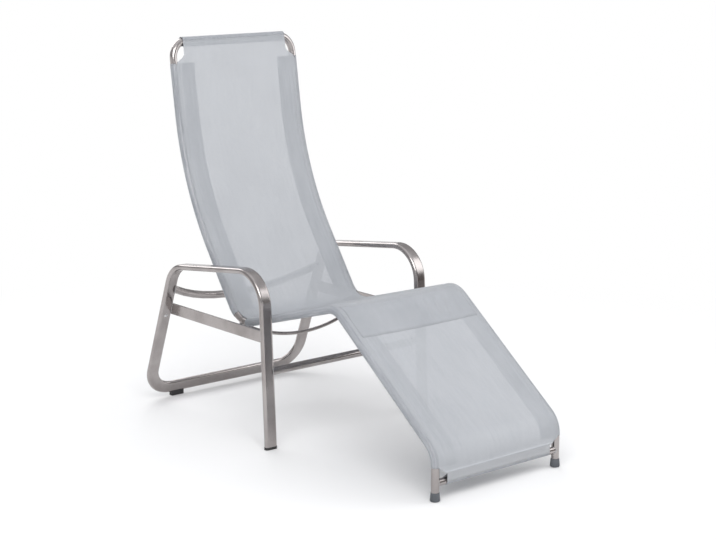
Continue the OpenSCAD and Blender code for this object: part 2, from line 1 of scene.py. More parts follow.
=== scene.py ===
import bpy
import bmesh
import json
import math
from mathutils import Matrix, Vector


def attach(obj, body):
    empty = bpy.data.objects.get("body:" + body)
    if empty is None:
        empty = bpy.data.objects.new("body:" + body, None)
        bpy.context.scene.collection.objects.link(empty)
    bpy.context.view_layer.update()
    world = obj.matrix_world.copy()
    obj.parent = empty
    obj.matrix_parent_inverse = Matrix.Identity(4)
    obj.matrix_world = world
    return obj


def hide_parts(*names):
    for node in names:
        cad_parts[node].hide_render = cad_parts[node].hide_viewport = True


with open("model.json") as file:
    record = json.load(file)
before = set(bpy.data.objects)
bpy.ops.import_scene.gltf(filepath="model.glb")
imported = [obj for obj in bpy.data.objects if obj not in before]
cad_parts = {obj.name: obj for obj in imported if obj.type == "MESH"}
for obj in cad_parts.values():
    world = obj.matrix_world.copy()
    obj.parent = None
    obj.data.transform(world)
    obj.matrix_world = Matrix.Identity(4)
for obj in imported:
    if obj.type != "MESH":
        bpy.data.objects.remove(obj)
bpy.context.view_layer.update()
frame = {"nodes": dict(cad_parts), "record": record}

record = frame["record"]
nodes = frame["nodes"]
mm = 0.001

# the seat frame's line, as the CAD has it
middleY = 6.1334 * mm
pivot = (250 * mm, 354 * mm)
railX = 254 * mm
railR = 12.5 * mm
topR = 60 * mm
slopes = {"back": 55.1, "head": 81.6, "seat": 16.1, "foot": 37.2}  # degrees
lengths = {"back": 0.531, "head": 0.490, "seat": 0.532, "foot": 0.587}  # metres, corner to corner
bendR = {"back": 1.030, "hip": 0.099, "knee": 0.075, "ankle": 0.080}
lugLean = 11.5
lugReach = 18 * mm
tipFloor = 5 * mm
pocketEndH = 104 * mm
footBarH = 55 * mm
footBarR = 11 * mm

# the sling on it
cloth = {"thick": 0.9 * mm, "gap": 0.3 * mm, "layerGap": 0.2 * mm, "sag": 8 * mm,
         "sheet": 0.35 * mm, "hemIn": 37 * mm, "cornerCut": 76 * mm, "cornerShare": 0.7,
         "slackShare": 1.5, "topHem": 22 * mm, "footHem": 31 * mm}
clothH = railR + cloth["gap"] + cloth["thick"] / 2
underH = clothH - cloth["thick"] - cloth["layerGap"]
hemEndX = railX - cloth["hemIn"]
cornerCut = cloth["cornerCut"]
topHemL, footHemL = cloth["topHem"], cloth["footHem"]
slackL = cloth["slackShare"] * cornerCut  # over which the sag comes in


def heading(a):
    return Vector((math.cos(math.radians(a)), math.sin(math.radians(a))))


hipCentre = Vector(pivot) + (bendR["hip"] + lugReach) * heading(90 + lugLean)
hip = hipCentre - heading((slopes["back"] + 180 - slopes["seat"]) / 2) * bendR["hip"] / math.cos(
    math.radians((slopes["back"] + slopes["seat"]) / 2))
backCorner = hip + lengths["back"] * heading(slopes["back"])
top = backCorner + lengths["head"] * heading(slopes["head"])
knee = hip + lengths["seat"] * heading(180 - slopes["seat"])
ankle = knee + lengths["foot"] * heading(180 + slopes["foot"])
foot = Vector((ankle.x, tipFloor))


def buildPath(corners, radii):
    # a list of runs (length,) and bends (radius, angle, side)
    path = []
    cut = [0.0]
    turns = [0.0]
    for i in range(1, len(corners) - 1):
        a = corners[i] - corners[i - 1]
        b = corners[i + 1] - corners[i]
        turn = math.degrees(math.atan2(a.x * b.y - a.y * b.x, a.dot(b)))
        turns.append(turn)
        cut.append(radii[i] * math.tan(math.radians(abs(turn)) / 2))
    cut.append(0.0)
    for i in range(1, len(corners)):
        path.append(((corners[i] - corners[i - 1]).length - cut[i - 1] - cut[i],))
        if i < len(corners) - 1:
            path.append((radii[i], abs(turns[i]), -1 if turns[i] > 0 else 1))
    return path


railPath = buildPath([top, backCorner, hip, knee, ankle, foot],
                     [0, bendR["back"], bendR["hip"], bendR["knee"], bendR["ankle"], 0])


def stepLength(s):
    return s[0] if len(s) == 1 else math.radians(s[1]) * s[0]


starts = [0.0]
for step in railPath:
    starts.append(starts[-1] + stepLength(step))
hipStep, kneeStep, ankleStep = 3, 5, 7  # where the bends stand in railPath
railEnd = starts[-1]
lugAt = starts[hipStep] + bendR["hip"] * math.radians(slopes["back"] - lugLean)
kneeAt = (starts[kneeStep] + starts[kneeStep + 1]) / 2
pocketEnd = railEnd - (pocketEndH - tipFloor)
footBarAt = railEnd - (footBarH - tipFloor)
footSeam = footBarAt - footHemL
footCutAt = (pocketEnd + footBarAt) / 2


def railPlace(d):
    # point and heading at a distance along the rails, from the top tube down
    p, a = top.copy(), 180 + slopes["head"]
    for s in railPath:
        l = stepLength(s)
        part = max(0.0, min(d, l)) if s is not railPath[-1] else d
        if len(s) == 1:
            p = p + heading(a) * part
        else:
            turned = math.degrees(part / s[0])
            centre = p + s[2] * s[0] * heading(a - 90)
            a -= s[2] * turned
            p = centre - s[2] * s[0] * heading(a - 90)
        d -= l
        if d <= 0:
            break
    return p, a


def atRail(x, h, d, ahead=0.0):
    # a point across, over the rails' line and ahead of a distance along it
    p, a = railPlace(d)
    q = p + h * heading(a - 90)
    if ahead:
        q = q + ahead * heading(a)
    return Vector((x, q.x - middleY, q.y))


def lookup(d, table):
    if d <= table[0][0]:
        return table[0][1]
    for (d0, v0), (d1, v1) in zip(table, table[1:]):
        if d <= d1:
            return v0 + (v1 - v0) * (d - d0) / (d1 - d0)
    return table[-1][1]


def panelHalf(d):
    return lookup(d, [(0, hemEndX), (cloth["cornerShare"] * cornerCut, hemEndX),
                      (cornerCut, railX), (pocketEnd, railX),
                      (footCutAt, hemEndX), (footBarAt, hemEndX)])


def slack(d):
    reach = min(1, (d - topHemL) / slackL, (footSeam - d) / slackL)
    return cloth["sag"] * max(0, reach)


def clothLine(x, d, h=clothH):
    return h - slack(d) * (1 - (x / railX) ** 2)


rings = {"run": 0.012, "bend": 0.006, "seam": 0.0025, "bendLead": 0.01, "seamLead": 0.014,
         "last": 0.003}


def marks(start, end):
    # distances of the cloth's rings, closer together in the bends and at the foot's seam
    out = [start]
    d = start
    while d < end:
        inBend = any(starts[i] - rings["bendLead"] < d < starts[i + 1] + rings["bendLead"]
                     for i in (hipStep, kneeStep, ankleStep))
        atSeam = d > footSeam - rings["seamLead"]
        d += rings["seam"] if atSeam else rings["bend"] if inBend else rings["run"]
        if d < end - rings["last"]:
            out.append(d)
    return out + [end]


# a shader socket that takes part in sums
class Sock:
    def __init__(self, graph, out):
        self.graph, self.out = graph, out

    def math(self, kind, *others):
        return self.graph.node("ShaderNodeMath", {"operation": kind},
                               dict(enumerate((self, *others))))

    def reflected(self, kind, v):
        return self.graph.node("ShaderNodeMath", {"operation": kind}, {0: v, 1: self})

    def __add__(self, v): return self.math("ADD", v)
    def __sub__(self, v): return self.math("SUBTRACT", v)
    def __mul__(self, v): return self.math("MULTIPLY", v)
    def __truediv__(self, v): return self.math("DIVIDE", v)
    def __radd__(self, v): return self.reflected("ADD", v)
    def __rsub__(self, v): return self.reflected("SUBTRACT", v)
    def __rmul__(self, v): return self.reflected("MULTIPLY", v)
    def __rtruediv__(self, v): return self.reflected("DIVIDE", v)

    def ramp(self, low, high, a=0.0, b=1.0):
        return self.graph.node(
            "ShaderNodeMapRange", {"interpolation_type": "SMOOTHSTEP"},
            {"Value": self, "From Min": low, "From Max": high, "To Min": a, "To Max": b}, "Result")


# a node tree; every node comes from node()
class Graph:
    def __init__(self, tree):
        self.tree = tree
        self.coords = self.node("ShaderNodeTexCoord").out.node

    def put(self, socket, v):
        if isinstance(v, Sock):
            self.tree.links.new(v.out, socket)
        else:
            socket.default_value = v

    def node(self, kind, settings=None, inputs=None, out=0):
        n = self.tree.nodes.new(kind)
        for key, v in (settings or {}).items():
            if key == "stops":
                elements = n.color_ramp.elements
                for e, (at, color) in zip(list(elements), (v[0], v[-1])):
                    e.position, e.color = at, (*color, 1)
                for at, color in v[1:-1]:
                    elements.new(at).color = (*color, 1)
            else:
                setattr(n, key, v)
        for key, v in (inputs or {}).items():
            self.put(n.inputs[key], v)
        return Sock(self, n.outputs[out])

    def coord(self, source):
        return Sock(self, self.coords.outputs[source])

    def axis(self, which, source="UV"):
        return self.node("ShaderNodeSeparateXYZ", {}, {0: self.coord(source)}, which)


# a material with one Principled shader and the textures that feed it
class Paint(Graph):
    def __init__(self, name, color, roughness, metallic=0.0, extra=None):
        self.mat = bpy.data.materials.new(name)
        self.mat.use_nodes = True
        super().__init__(self.mat.node_tree)
        self.bsdf = self.tree.nodes["Principled BSDF"]
        sockets = {"Base Color": (*color, 1), "Roughness": roughness, "Metallic": metallic}
        for key, v in {**sockets, **(extra or {})}.items():
            self.feed(key, v)

    def feed(self, socket, v):
        self.put(self.bsdf.inputs[socket], v)

    def noise(self, scale, detail=3.0, rough=0.55, stretch=(1, 1, 1), source="Object"):
        place = self.node("ShaderNodeMapping", {}, {"Vector": self.coord(source), "Scale": stretch})
        return self.node("ShaderNodeTexNoise", {}, {"Vector": place, "Scale": scale,
                                                    "Detail": detail, "Roughness": rough}, "Fac")

    def blend(self, fac, a, b):
        a, b = (v if isinstance(v, Sock) else (*v, 1) for v in (a, b))
        return self.node("ShaderNodeMix", {"data_type": "RGBA"}, {"Factor": fac, 6: a, 7: b}, 2)

    def bump(self, height, strength, distance):
        self.feed("Normal", self.node("ShaderNodeBump", {}, {
            "Strength": strength, "Distance": distance, "Height": height}))


# a noise is given by its scale, detail and roughness
metalLook = {"haze": (9, 4, 0.55), "hazeEdges": (0.35, 0.72), "hazeShare": 0.12,
             "streak": (900, 2, 0.6), "streakShare": 0.14, "bump": 0.05, "height": 0.3 * mm}


def metal(name, light, dark, rough):
    p = Paint(name, light, rough, 1.0)
    haze, streak = p.noise(*metalLook["haze"]), p.noise(*metalLook["streak"])
    middle = (metalLook["hazeShare"] + metalLook["streakShare"]) / 2
    p.feed("Base Color", p.blend(haze.ramp(*metalLook["hazeEdges"]), light, dark))
    p.feed("Roughness", haze * metalLook["hazeShare"] + streak * metalLook["streakShare"]
           + (rough - middle))
    p.bump(streak, metalLook["bump"], metalLook["height"])
    return p.mat


weave = {"pitch": 1.5 * mm, "hole": 0.222, "blur": 0.05, "rough": 0.62, "specular": 0.35,
         "sheen": 0.15, "sheenRough": 0.5, "bump": 0.35, "height": 0.4 * mm, "crown": 2.0,
         "overShare": 0.25, "patch": (7, 3, 0.5), "patchEdges": (0.3, 0.75),
         "slub": (160, 2, 0.6), "slubEdges": (0.3, 0.7), "slubStretch": (1, 0.05, 1),
         # the doubled end's tone is painted light, lighter than the shade that falls there
         "slubRough": 0.2, "leastRough": 0.5, "doubled": (0.475, 0.485, 0.505),
         "doubledShare": 0.8, "doubledIn": 2 * mm, "foldAt": 1 * mm,
         # the fold line's width, brightness and share make a painted highlight along the folded
         # edge
         "foldHighlightWide": (1 * mm, 2.5 * mm), "foldHighlightGain": 1.25, "foldHighlightShare": 0.8}


def meshCloth(name, light, dark, streaks=0.6, doubledFrom=None):
    # plain weave of coated yarns, drawn in the cloth's own metres
    p = Paint(name, light, weave["rough"], extra={
        "Specular IOR Level": weave["specular"], "Sheen Weight": weave["sheen"],
        "Sheen Roughness": weave["sheenRough"]})
    u, v = p.axis(0), p.axis(1)
    column, row = u / weave["pitch"], v / weave["pitch"]
    weft, warp = ((c.math("FRACT") - 0.5).math("ABSOLUTE") for c in (column, row))
    edge = 0.5 - weave["hole"]
    hole = weft.math("MINIMUM", warp).ramp(edge - weave["blur"], edge + weave["blur"])
    over = (column.math("FLOOR") + row.math("FLOOR")).math("MODULO", 2.0)
    patch = p.noise(*weave["patch"])
    slub = p.noise(*weave["slub"], weave["slubStretch"], "UV")
    tone = (patch.ramp(*weave["patchEdges"]) * (1 - streaks)
            + slub.ramp(*weave["slubEdges"]) * streaks)
    shade = p.blend(tone, light, dark)
    if doubledFrom:
        # painted light: the doubled end gets one even tone, lighter than the shade that falls on
        # it, and a pale painted highlight along its folded edge
        doubled = v.ramp(doubledFrom, doubledFrom + weave["doubledIn"])
        fromFold = (v - (doubledFrom - weave["foldAt"])).math("ABSOLUTE")
        foldHighlight = fromFold.ramp(*weave["foldHighlightWide"], 1.0, 0.0)
        shade = p.blend(doubled * weave["doubledShare"], shade, weave["doubled"])
        # painted highlight: a pale line along the folded edge, as if the fold caught the light
        shade = p.blend(foldHighlight * weave["foldHighlightShare"], shade,
                        tuple(c * weave["foldHighlightGain"] for c in light))
    p.feed("Base Color", shade)
    p.feed("Roughness", slub * weave["slubRough"] + weave["leastRough"])
    p.feed("Alpha", 1 - hole)
    p.bump((weft * weft + warp * warp) * -weave["crown"] + over * weave["overShare"],
           weave["bump"], weave["height"])
    return p.mat


plasticLook = {"specular": 0.45, "wide": 30, "wideEdges": (0.35, 0.75), "wideShare": 0.15,
               "fineShare": 0.2, "smoother": 0.15, "bump": 0.25, "height": 0.4 * mm}


def plastic(name, light, dark, rough, grain=450):
    p = Paint(name, light, rough, extra={"Specular IOR Level": plasticLook["specular"]})
    fine, wide = p.noise(grain), p.noise(plasticLook["wide"])
    p.feed("Base Color", p.blend(wide.ramp(*plasticLook["wideEdges"]), light, dark))
    p.feed("Roughness", fine * plasticLook["fineShare"] + wide * plasticLook["wideShare"]
           + (rough - plasticLook["smoother"]))
    p.bump(fine, plasticLook["bump"], plasticLook["height"])
    return p.mat


finishes = {
    "satin_aluminium": metal("satinTube", (0.43, 0.402, 0.395), (0.33, 0.303, 0.297), 0.22),
    "steel_fasteners": metal("brightSteel", (0.60, 0.60, 0.60), (0.5, 0.5, 0.5), 0.24),
    "black_plastic": plastic("blackPlastic", (0.018, 0.018, 0.019), (0.03, 0.03, 0.03), 0.48),
    "dark_rubber": plastic("darkRubber", (0.085, 0.092, 0.102), (0.12, 0.128, 0.14), 0.7, 700),
}
# the foot hem's doubled end carries painted light: a lighter even tone, and a painted highlight
# along its fold
panelCloth = meshCloth("slingMesh", (0.468, 0.486, 0.513), (0.414, 0.431, 0.46),
                       doubledFrom=footSeam)
hemCloth = meshCloth("hemMesh", (0.465, 0.48, 0.51), (0.315, 0.332, 0.364), 0.75)
bandCloth = meshCloth("bandMesh", (0.455, 0.472, 0.5), (0.395, 0.412, 0.442), 0.3)
weld = metal("weldBead", (0.52, 0.52, 0.53), (0.36, 0.35, 0.35), 0.42)
threadPaint = Paint("seamThread", (0.61, 0.64, 0.67), 0.55)
threadPaint.feed("Base Color", threadPaint.blend(
    threadPaint.noise(300, 2), (0.56, 0.59, 0.63), (0.66, 0.69, 0.72)))
thread = threadPaint.mat
print("materials done")


softNodes = ["sling_panel", "top_hem", "foot_hem", "knee_band", "left_back_pocket",
             "right_back_pocket", "left_seat_pocket", "right_seat_pocket"]
slotOf = {s["node"]: s["material_slot"] for s in record["subparts"]}
sharpEdge = math.radians(32)
for name, obj in nodes.items():
    if name in softNodes:
        continue
    obj.data.materials.clear()
    obj.data.materials.append(finishes[slotOf[name]])
    obj.data.polygons.foreach_set("use_smooth", [True] * len(obj.data.polygons))
    obj.modifiers.new("edges", "EDGE_SPLIT").split_angle = sharpEdge
print("carried pieces done")


def makeObject(name, mesh, material, body):
    obj = bpy.data.objects.new(name, mesh)
    bpy.context.scene.collection.objects.link(obj)
    mesh.materials.append(material)
    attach(obj, body)
    return obj


def gridMesh(name, rows, uvs):
    # rows of points with their cloth coordinates, as one smooth sheet
    mesh = bpy.data.meshes.new(name)
    n = len(rows[0])
    verts = [p for row in rows for p in row]
    faces = [(k * n + i, k * n + i + 1, (k + 1) * n + i + 1, (k + 1) * n + i)
             for k in range(len(rows) - 1) for i in range(n - 1)]
    mesh.from_pydata(verts, [], faces)
    layer = mesh.uv_layers.new(name="cloth")
    flat = [uv for row in uvs for uv in row]
    for loop in mesh.loops:
        layer.data[loop.index].uv = flat[loop.vertex_index]
    mesh.polygons.foreach_set("use_smooth", [True] * len(mesh.polygons))
    return mesh


def clothPiece(name, node, rows, uvs, material):
    obj = makeObject(name, gridMesh(name, rows, uvs), material, "seat")
    solid = obj.modifiers.new("thickness", "SOLIDIFY")
    solid.thickness = cloth["sheet"]
    solid.offset = 0
    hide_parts(node)
    return obj


def leavesAt(e, r):
    # the angle at which a line from e touches a circle round the origin
    return math.atan2(e[1], e[0]) + math.acos(r / math.hypot(*e))


def runs(line):
    out = [0.0]
    for a, b in zip(line, line[1:]):
        out.append(out[-1] + math.dist(a, b))
    return out


pulls = [{"at": lugAt, "span": 0.11, "height": 0.9 * mm, "step": 0.034, "slant": 0.35},
         {"at": kneeAt + 0.05, "span": 0.10, "height": 0.7 * mm, "step": 0.029, "slant": 0.35}]
foldRidge = {"height": 1.2 * mm, "wide": 3.5 * mm}
kneeBand = {"length": 135 * mm, "tuck": 0.65 * mm, "tuckLength": 14 * mm,
            "ripple": 2.0 * mm, "step": 0.038, "slant": 0.024,
            "spots": [(0.11, 0.085, 1.0), (-0.14, 0.07, 0.3)]}  # across, width, share


def tension(x, d):
    # faint pulls that run in from the rails, strongest at hip and knee
    total = 0.0
    edge = abs(x) / railX
    for p in pulls:
        near = math.exp(-((d - p["at"]) / p["span"]) ** 2)
        wave = math.sin((d + p["slant"] * abs(x)) * 2 * math.pi / p["step"])
        total += p["height"] * near * edge ** 2 * (1 - edge ** 8) * wave
    # the foot hem's folded edge stands up as a low ridge
    total += foldRidge["height"] * math.exp(-((d - footSeam) / foldRidge["wide"]) ** 2)
    # the doubled cloth below the knee ripples across where the band pulls it
    along = (d - kneeAt) / kneeBand["length"]
    if 0 < along < 1:
        spread = sum(share * math.exp(-((x - at) / wide) ** 2)
                     for at, wide, share in kneeBand["spots"])
        wave = math.sin(2 * math.pi * (x + kneeBand["slant"] * along) / kneeBand["step"])
        total += kneeBand["ripple"] * spread * math.sin(math.pi * along) * wave
    return total


def clothLayer(start, end, half, h, tuck=0.0):
    # a tucked layer comes down to the one below at its far edge
    across = 88
    rows, uvs = [], []
    for d in marks(start, end):
        w = min(half, panelHalf(d))
        xs = [w * (2 * i / across - 1) for i in range(across + 1)]
        lift = h - tuck * max(0, 1 - (end - d) / kneeBand["tuckLength"])
        rows.append([atRail(x, clothLine(x, d, lift) + tension(x, d), d) for x in xs])
        uvs.append([(x, d) for x in xs])
    return rows, uvs


panel = clothPiece("slingPanel", "sling_panel", *clothLayer(0, footBarAt, railX, clothH),
                   panelCloth)
bandRows, bandUvs = clothLayer(kneeAt, kneeAt + kneeBand["length"], railX - railR,
                               clothH + cloth["thick"] + cloth["layerGap"], kneeBand["tuck"])
band = clothPiece("kneeBand", "knee_band", bandRows, bandUvs, bandCloth)

pocketSizes = {"hem": 65 * mm, "seamIn": 24 * mm, "aboveLug": 0.038, "belowLug": 0.024,
               "underSteps": 8, "wrapSteps": 18}


def pocketLine(d):
    # from the hem's edge under the cloth, round the rail, up to the panel's edge
    first = railX - railR - pocketSizes["hem"]
    reach = pocketSizes["hem"] + railR - pocketSizes["seamIn"]
    n = pocketSizes["underSteps"]
    xs = [first + reach * i / n for i in range(n + 1)]
    line = [(x, clothLine(x, d, underH) + tension(x, d)) for x in xs]
    seam = (line[-1][0] - railX, line[-1][1])
    low = leavesAt(seam, clothH) - 2 * math.pi
    n = pocketSizes["wrapSteps"]
    for i in range(n + 1):
        a = low + (math.pi / 2 - low) * i / n
        line.append((railX + clothH * math.cos(a), clothH * math.sin(a)))
    return line


def pocket(name, node, side, start, end):
    rows, uvs = [], []
    for d in marks(start, end):
        line = pocketLine(d)
        run = runs(line)
        girth = run[-1]
        if side > 0:
            line, run = line[::-1], run[::-1]
        rows.append([atRail(side * x, h, d) for x, h in line])
        uvs.append([(side * (railX + girth - r), d) for r in run])
    obj = clothPiece(name, node, rows, uvs, hemCloth)
    girth = abs(uvs[0][0][0] - uvs[0][-1][0])
    end - start


for side, word in ((-1, "left"), (1, "right")):
    pocket(word + "BackPocket", word + "_back_pocket", side,
           cornerCut, lugAt - pocketSizes["aboveLug"])
    pocket(word + "SeatPocket", word + "_seat_pocket", side,
           lugAt + pocketSizes["belowLug"], pocketEnd)

hemSizes = {"seamShare": 0.85, "across": 30, "halfSteps": 14, "wrapSteps": 10}


def tubeHem(name, node, d0, tubeR, length, drop, flip):
    r = tubeR + cloth["gap"] + cloth["thick"] / 2
    seam = (underH, length * hemSizes["seamShare"])
    wrap = math.pi - leavesAt((seam[0], seam[1] - drop), r)
    n, m = hemSizes["halfSteps"], hemSizes["wrapSteps"]
    line = [(clothH, 0.0)]
    line += [(r * math.cos(a), r * math.sin(a))
             for a in (-math.pi * i / n for i in range(1, n + 1))]
    line += [(r * math.cos(a), drop + r * math.sin(a))
             for a in (-math.pi - wrap * i / m for i in range(1, m + 1))]
    line += [seam, (underH, length)]
    run = runs(line)
    across = hemSizes["across"]
    xs = [hemEndX * (2 * i / across - 1) for i in range(across + 1)]
    rows = [[atRail(x, h, d0, s * flip) for x in xs] for h, s in line]
    uvs = [[(x, d0 - flip * l) for x in xs] for l in run]
    obj = clothPiece(name, node, rows, uvs, hemCloth)


over = hemEndX - railX + topR
inner = topR - railR
tubeHem("topHem", "top_hem", 0.0, railR, topHemL,
        inner - math.sqrt(inner ** 2 - over ** 2), 1)
tubeHem("footHem", "foot_hem", footBarAt, footBarR, footHemL, 0.0, -1)
print("sling done")


stitch = {"pitch": 4.4 * mm, "long": 3.2 * mm, "thick": 0.55 * mm, "lift": 0.05 * mm,
          "shape": [(-0.5, 0.35), (-0.25, 1), (0.25, 1), (0.5, 0.35)],  # along, width
          "insets": [22 * mm, 26 * mm, 73 * mm], "startIn": 4 * mm,
          "aboveLug": 0.042, "belowLug": 0.028, "seamShare": 0.86, "edgeIn": 0.8 * mm}


def stitchRow(bm, points, normals):
    # short raised threads laid end to end along a line
    turns = [i * math.pi / 2 for i in range(4)]
    for p, q, n in zip(points, points[1:], normals):
        along = (q - p).normalized()
        side = along.cross(n).normalized()
        mid = (p + q) / 2
        ring = []
        for f, w in stitch["shape"]:
            c = mid + along * stitch["long"] * f
            ring.append([bm.verts.new(c + (side * math.cos(a) + n * math.sin(a))
                                      * stitch["thick"] / 2 * w) for a in turns])
        for a, b in zip(ring, ring[1:]):
            for i in range(4):
                bm.faces.new((a[i], a[(i + 1) % 4], b[(i + 1) % 4], b[i]))
        bm.faces.new(ring[0][::-1])
        bm.faces.new(ring[-1])


def clothSpot(x, d):
    _, a = railPlace(d)
    n = heading(a - 90)
    h = clothLine(x, d) + tension(x, d) + cloth["thick"] / 2 + stitch["lift"]
    return atRail(x, h, d), Vector((0, n.x, n.y))


def sewAlong(bm, spots):
    stitchRow(bm, [s[0] for s in spots], [s[1] for s in spots])


stitches = bmesh.new()
for side in (-1, 1):
    for start, end in ((cornerCut + stitch["startIn"], lugAt - stitch["aboveLug"]),
                       (lugAt + stitch["belowLug"], pocketEnd - stitch["startIn"])):
        for inset in stitch["insets"]:
            count = int((end - start) / stitch["pitch"])
            sewAlong(stitches, [clothSpot(side * (railX - inset), start + i * stitch["pitch"])
                                for i in range(count)])
for d in (topHemL * stitch["seamShare"], topHemL - stitch["edgeIn"],
          footBarAt - footHemL * stitch["seamShare"], footBarAt - footHemL + stitch["edgeIn"]):
    count = int(2 * (hemEndX - stitch["startIn"]) / stitch["pitch"])
    sewAlong(stitches, [clothSpot(-hemEndX + stitch["startIn"] + i * stitch["pitch"], d)
                        for i in range(count)])
stitchMesh = bpy.data.meshes.new("slingStitches")
stitches.to_mesh(stitchMesh)
stitches.free()
makeObject("slingStitches", stitchMesh, thread, "seat")
print("stitching done")


# weld beads: each follows the line where a bar's skin enters the piece that carries it
leg = {"x": 330 * mm, "half": 13 * mm, "r": 9.5 * mm,
       "frontRun": (27, 584),  # so far forward in its height
       "rearAngle": 69.0536}
frontLegLean = math.atan2(*leg["frontRun"])
rearLegAngle = math.radians(leg["rearAngle"])
floorBar = Vector((725 * mm, 35.7067 * mm))
bead = {"r": 1.7 * mm, "sides": 6, "share": 0.85, "ripple": 0.22, "step": 3.2 * mm,
        "march": 0.25 * mm, "plate": 0.4 * mm}


def rearLegY(z):
    return floorBar.x - (z - floorBar.y) / math.tan(rearLegAngle)


def inLeg(p, front):
    # whether a point is inside a leg's flat-oval section
    y, z = p.y + middleY, p.z
    if front:
        off = (y - z * math.tan(frontLegLean)) * math.cos(frontLegLean)
    else:
        off = (y - rearLegY(z)) * math.sin(rearLegAngle)
    return math.hypot(max(abs(abs(p.x) - leg["x"]) - leg["half"], 0), off) < leg["r"]


def meetLine(rim, direction, inside, reach):
    # pushes each point of a bar's rim along the bar until it is inside, or to the bar's end
    line = []
    for p in rim:
        q = p.copy()
        for _ in range(int(reach / bead["march"])):
            if inside(q):
                break
            q = q + direction * bead["march"]
        line.append(q)
    return line


def ringRim(centre, direction, radius, count=48):
    side = direction.cross(Vector((0, 0, 1))).normalized()
    up = side.cross(direction)
    return [centre + (side * math.cos(a) + up * math.sin(a)) * radius
            for a in (2 * math.pi * i / count for i in range(count))]


def boxRim(centre, wide, tall, u, v, count=12):
    corners = [centre + u * wide / 2 * a + v * tall / 2 * b
               for a, b in ((-1, -1), (1, -1), (1, 1), (-1, 1))]
    return [a.lerp(b, i / count)
            for a, b in zip(corners, corners[1:] + corners[:1]) for i in range(count)]


def layBead(bm, line, radius):
    # a rippled bead along a closed line
    n, sides = len(line), bead["sides"]
    hoops = []
    run = 0.0
    for i, p in enumerate(line):
        before, after = line[i - 1], line[(i + 1) % n]
        run += (after - p).length
        along = after - before
        along = along.normalized() if along.length > 1e-6 else Vector((1, 0, 0))
        side = along.orthogonal().normalized()
        up = along.cross(side)
        r = radius * (bead["share"] + bead["ripple"] * math.sin(2 * math.pi * run / bead["step"]))
        hoops.append([bm.verts.new(p + (side * math.cos(a) + up * math.sin(a)) * r)
                      for a in (2 * math.pi * k / sides for k in range(sides))])
    for i in range(n):
        a, b = hoops[i], hoops[(i + 1) % n]
        # each hoop's quads start at the nearest corner, so that the bead doesn't twist
        shift = min(range(sides), key=lambda k: (b[k].co - a[0].co).length)
        for k in range(sides):
            bm.faces.new((a[k], a[(k + 1) % sides],
                          b[(k + 1 + shift) % sides], b[(k + shift) % sides]))


def layPlate(bm, line):
    # a thin plate closes the bar's wide end, which stands past the leg's narrow edge
    middle = sum(line, Vector()) / len(line)
    thick = Vector((bead["plate"], 0, 0))
    near, far = ([bm.verts.new(p + way) for p in [middle] + line] for way in (-thick, thick))
    for i, j in zip(range(1, len(near)), [*range(2, len(near)), 1]):
        bm.faces.new((near[0], near[j], near[i]))
        bm.faces.new((far[0], far[i], far[j]))
        bm.faces.new((near[i], near[j], far[j], far[i]))


def beads(name, body, lines, radius=bead["r"], capped=False):
    bm = bmesh.new()
    for line in lines:
        layBead(bm, line, radius)
        if capped:
            layPlate(bm, line)
    bmesh.ops.recalc_face_normals(bm, faces=bm.faces)
    mesh = bpy.data.meshes.new(name)
    bm.to_mesh(mesh)
    bm.free()
    mesh.polygons.foreach_set("use_smooth", [True] * len(mesh.polygons))
    makeObject(name, mesh, weld, body)


def bothSides(line):
    return [line, [Vector((-p.x, p.y, p.z)) for p in line[::-1]]]


def bowRadius(half, bow):
    return (half ** 2 + bow ** 2) / (2 * bow)


def onBow(x, r, bow, start, dip):
    return Vector((x, 0, 0)) + start + dip * (math.sqrt(r * r - x * x) - (r - bow))


crossX = Vector((1, 0, 0))
innerX = leg["x"] - leg["half"] - leg["r"]

frontBar = {"height": 256 * mm, "radius": 13 * mm, "back": 6 * mm, "reach": 15.5 * mm}
at = Vector((innerX - frontBar["back"],
             frontBar["height"] * math.tan(frontLegLean) - middleY, frontBar["height"]))
frontRim = ringRim(at, crossX, frontBar["radius"])
beads("frontCrossbarWelds", "base", bothSides(meetLine(
    frontRim, crossX, lambda p: inLeg(p, True), frontBar["reach"])), capped=True)

stopBar = {"height": 429 * mm, "radius": 13.5 * mm, "bow": 94 * mm, "dip": 45,
           "back": 8 * mm, "ahead": 6 * mm, "reach": 30 * mm}
bowR = bowRadius(innerX, stopBar["bow"])
dip = math.radians(stopBar["dip"])
bowDip = Vector((0, math.cos(dip), -math.sin(dip)))
stopStart = Vector((0, rearLegY(stopBar["height"]) - middleY, stopBar["height"]))
inBow, outBow = (onBow(x, bowR, stopBar["bow"], stopStart, bowDip)
                 for x in (innerX - stopBar["back"], innerX + stopBar["ahead"]))
bowWay = (outBow - inBow).normalized()
beads("stopBarWelds", "base", bothSides(meetLine(
    ringRim(inBow, bowWay, stopBar["radius"]), bowWay,
    lambda p: inLeg(p, False) or p.x > innerX + leg["r"], stopBar["reach"])), capped=True)

sideBar = {"x": 307.5 * mm, "height": 357 * mm, "wide": 8 * mm, "tall": 38 * mm,
           "end": 4.75 * mm, "back": 14 * mm, "bead": 1.5 * mm}
lines = []
for front in (True, False):
    z = sideBar["height"]
    if front:
        y = z * math.tan(frontLegLean)
        lean = Vector((0, math.sin(frontLegLean), math.cos(frontLegLean)))
    else:
        y = rearLegY(z)
        lean = Vector((0, -math.cos(rearLegAngle), math.sin(rearLegAngle)))
    way = 1 if front else -1
    rim = boxRim(Vector((sideBar["x"], y + way * sideBar["back"] - middleY, z)),
                 sideBar["wide"], sideBar["tall"] * (1 / lean.z), crossX, lean)
    lines += bothSides(meetLine(rim, Vector((0, -way, 0)), lambda p, f=front: inLeg(p, f),
                                sideBar["back"] - sideBar["end"]))
beads("sideBarWelds", "base", lines, sideBar["bead"])

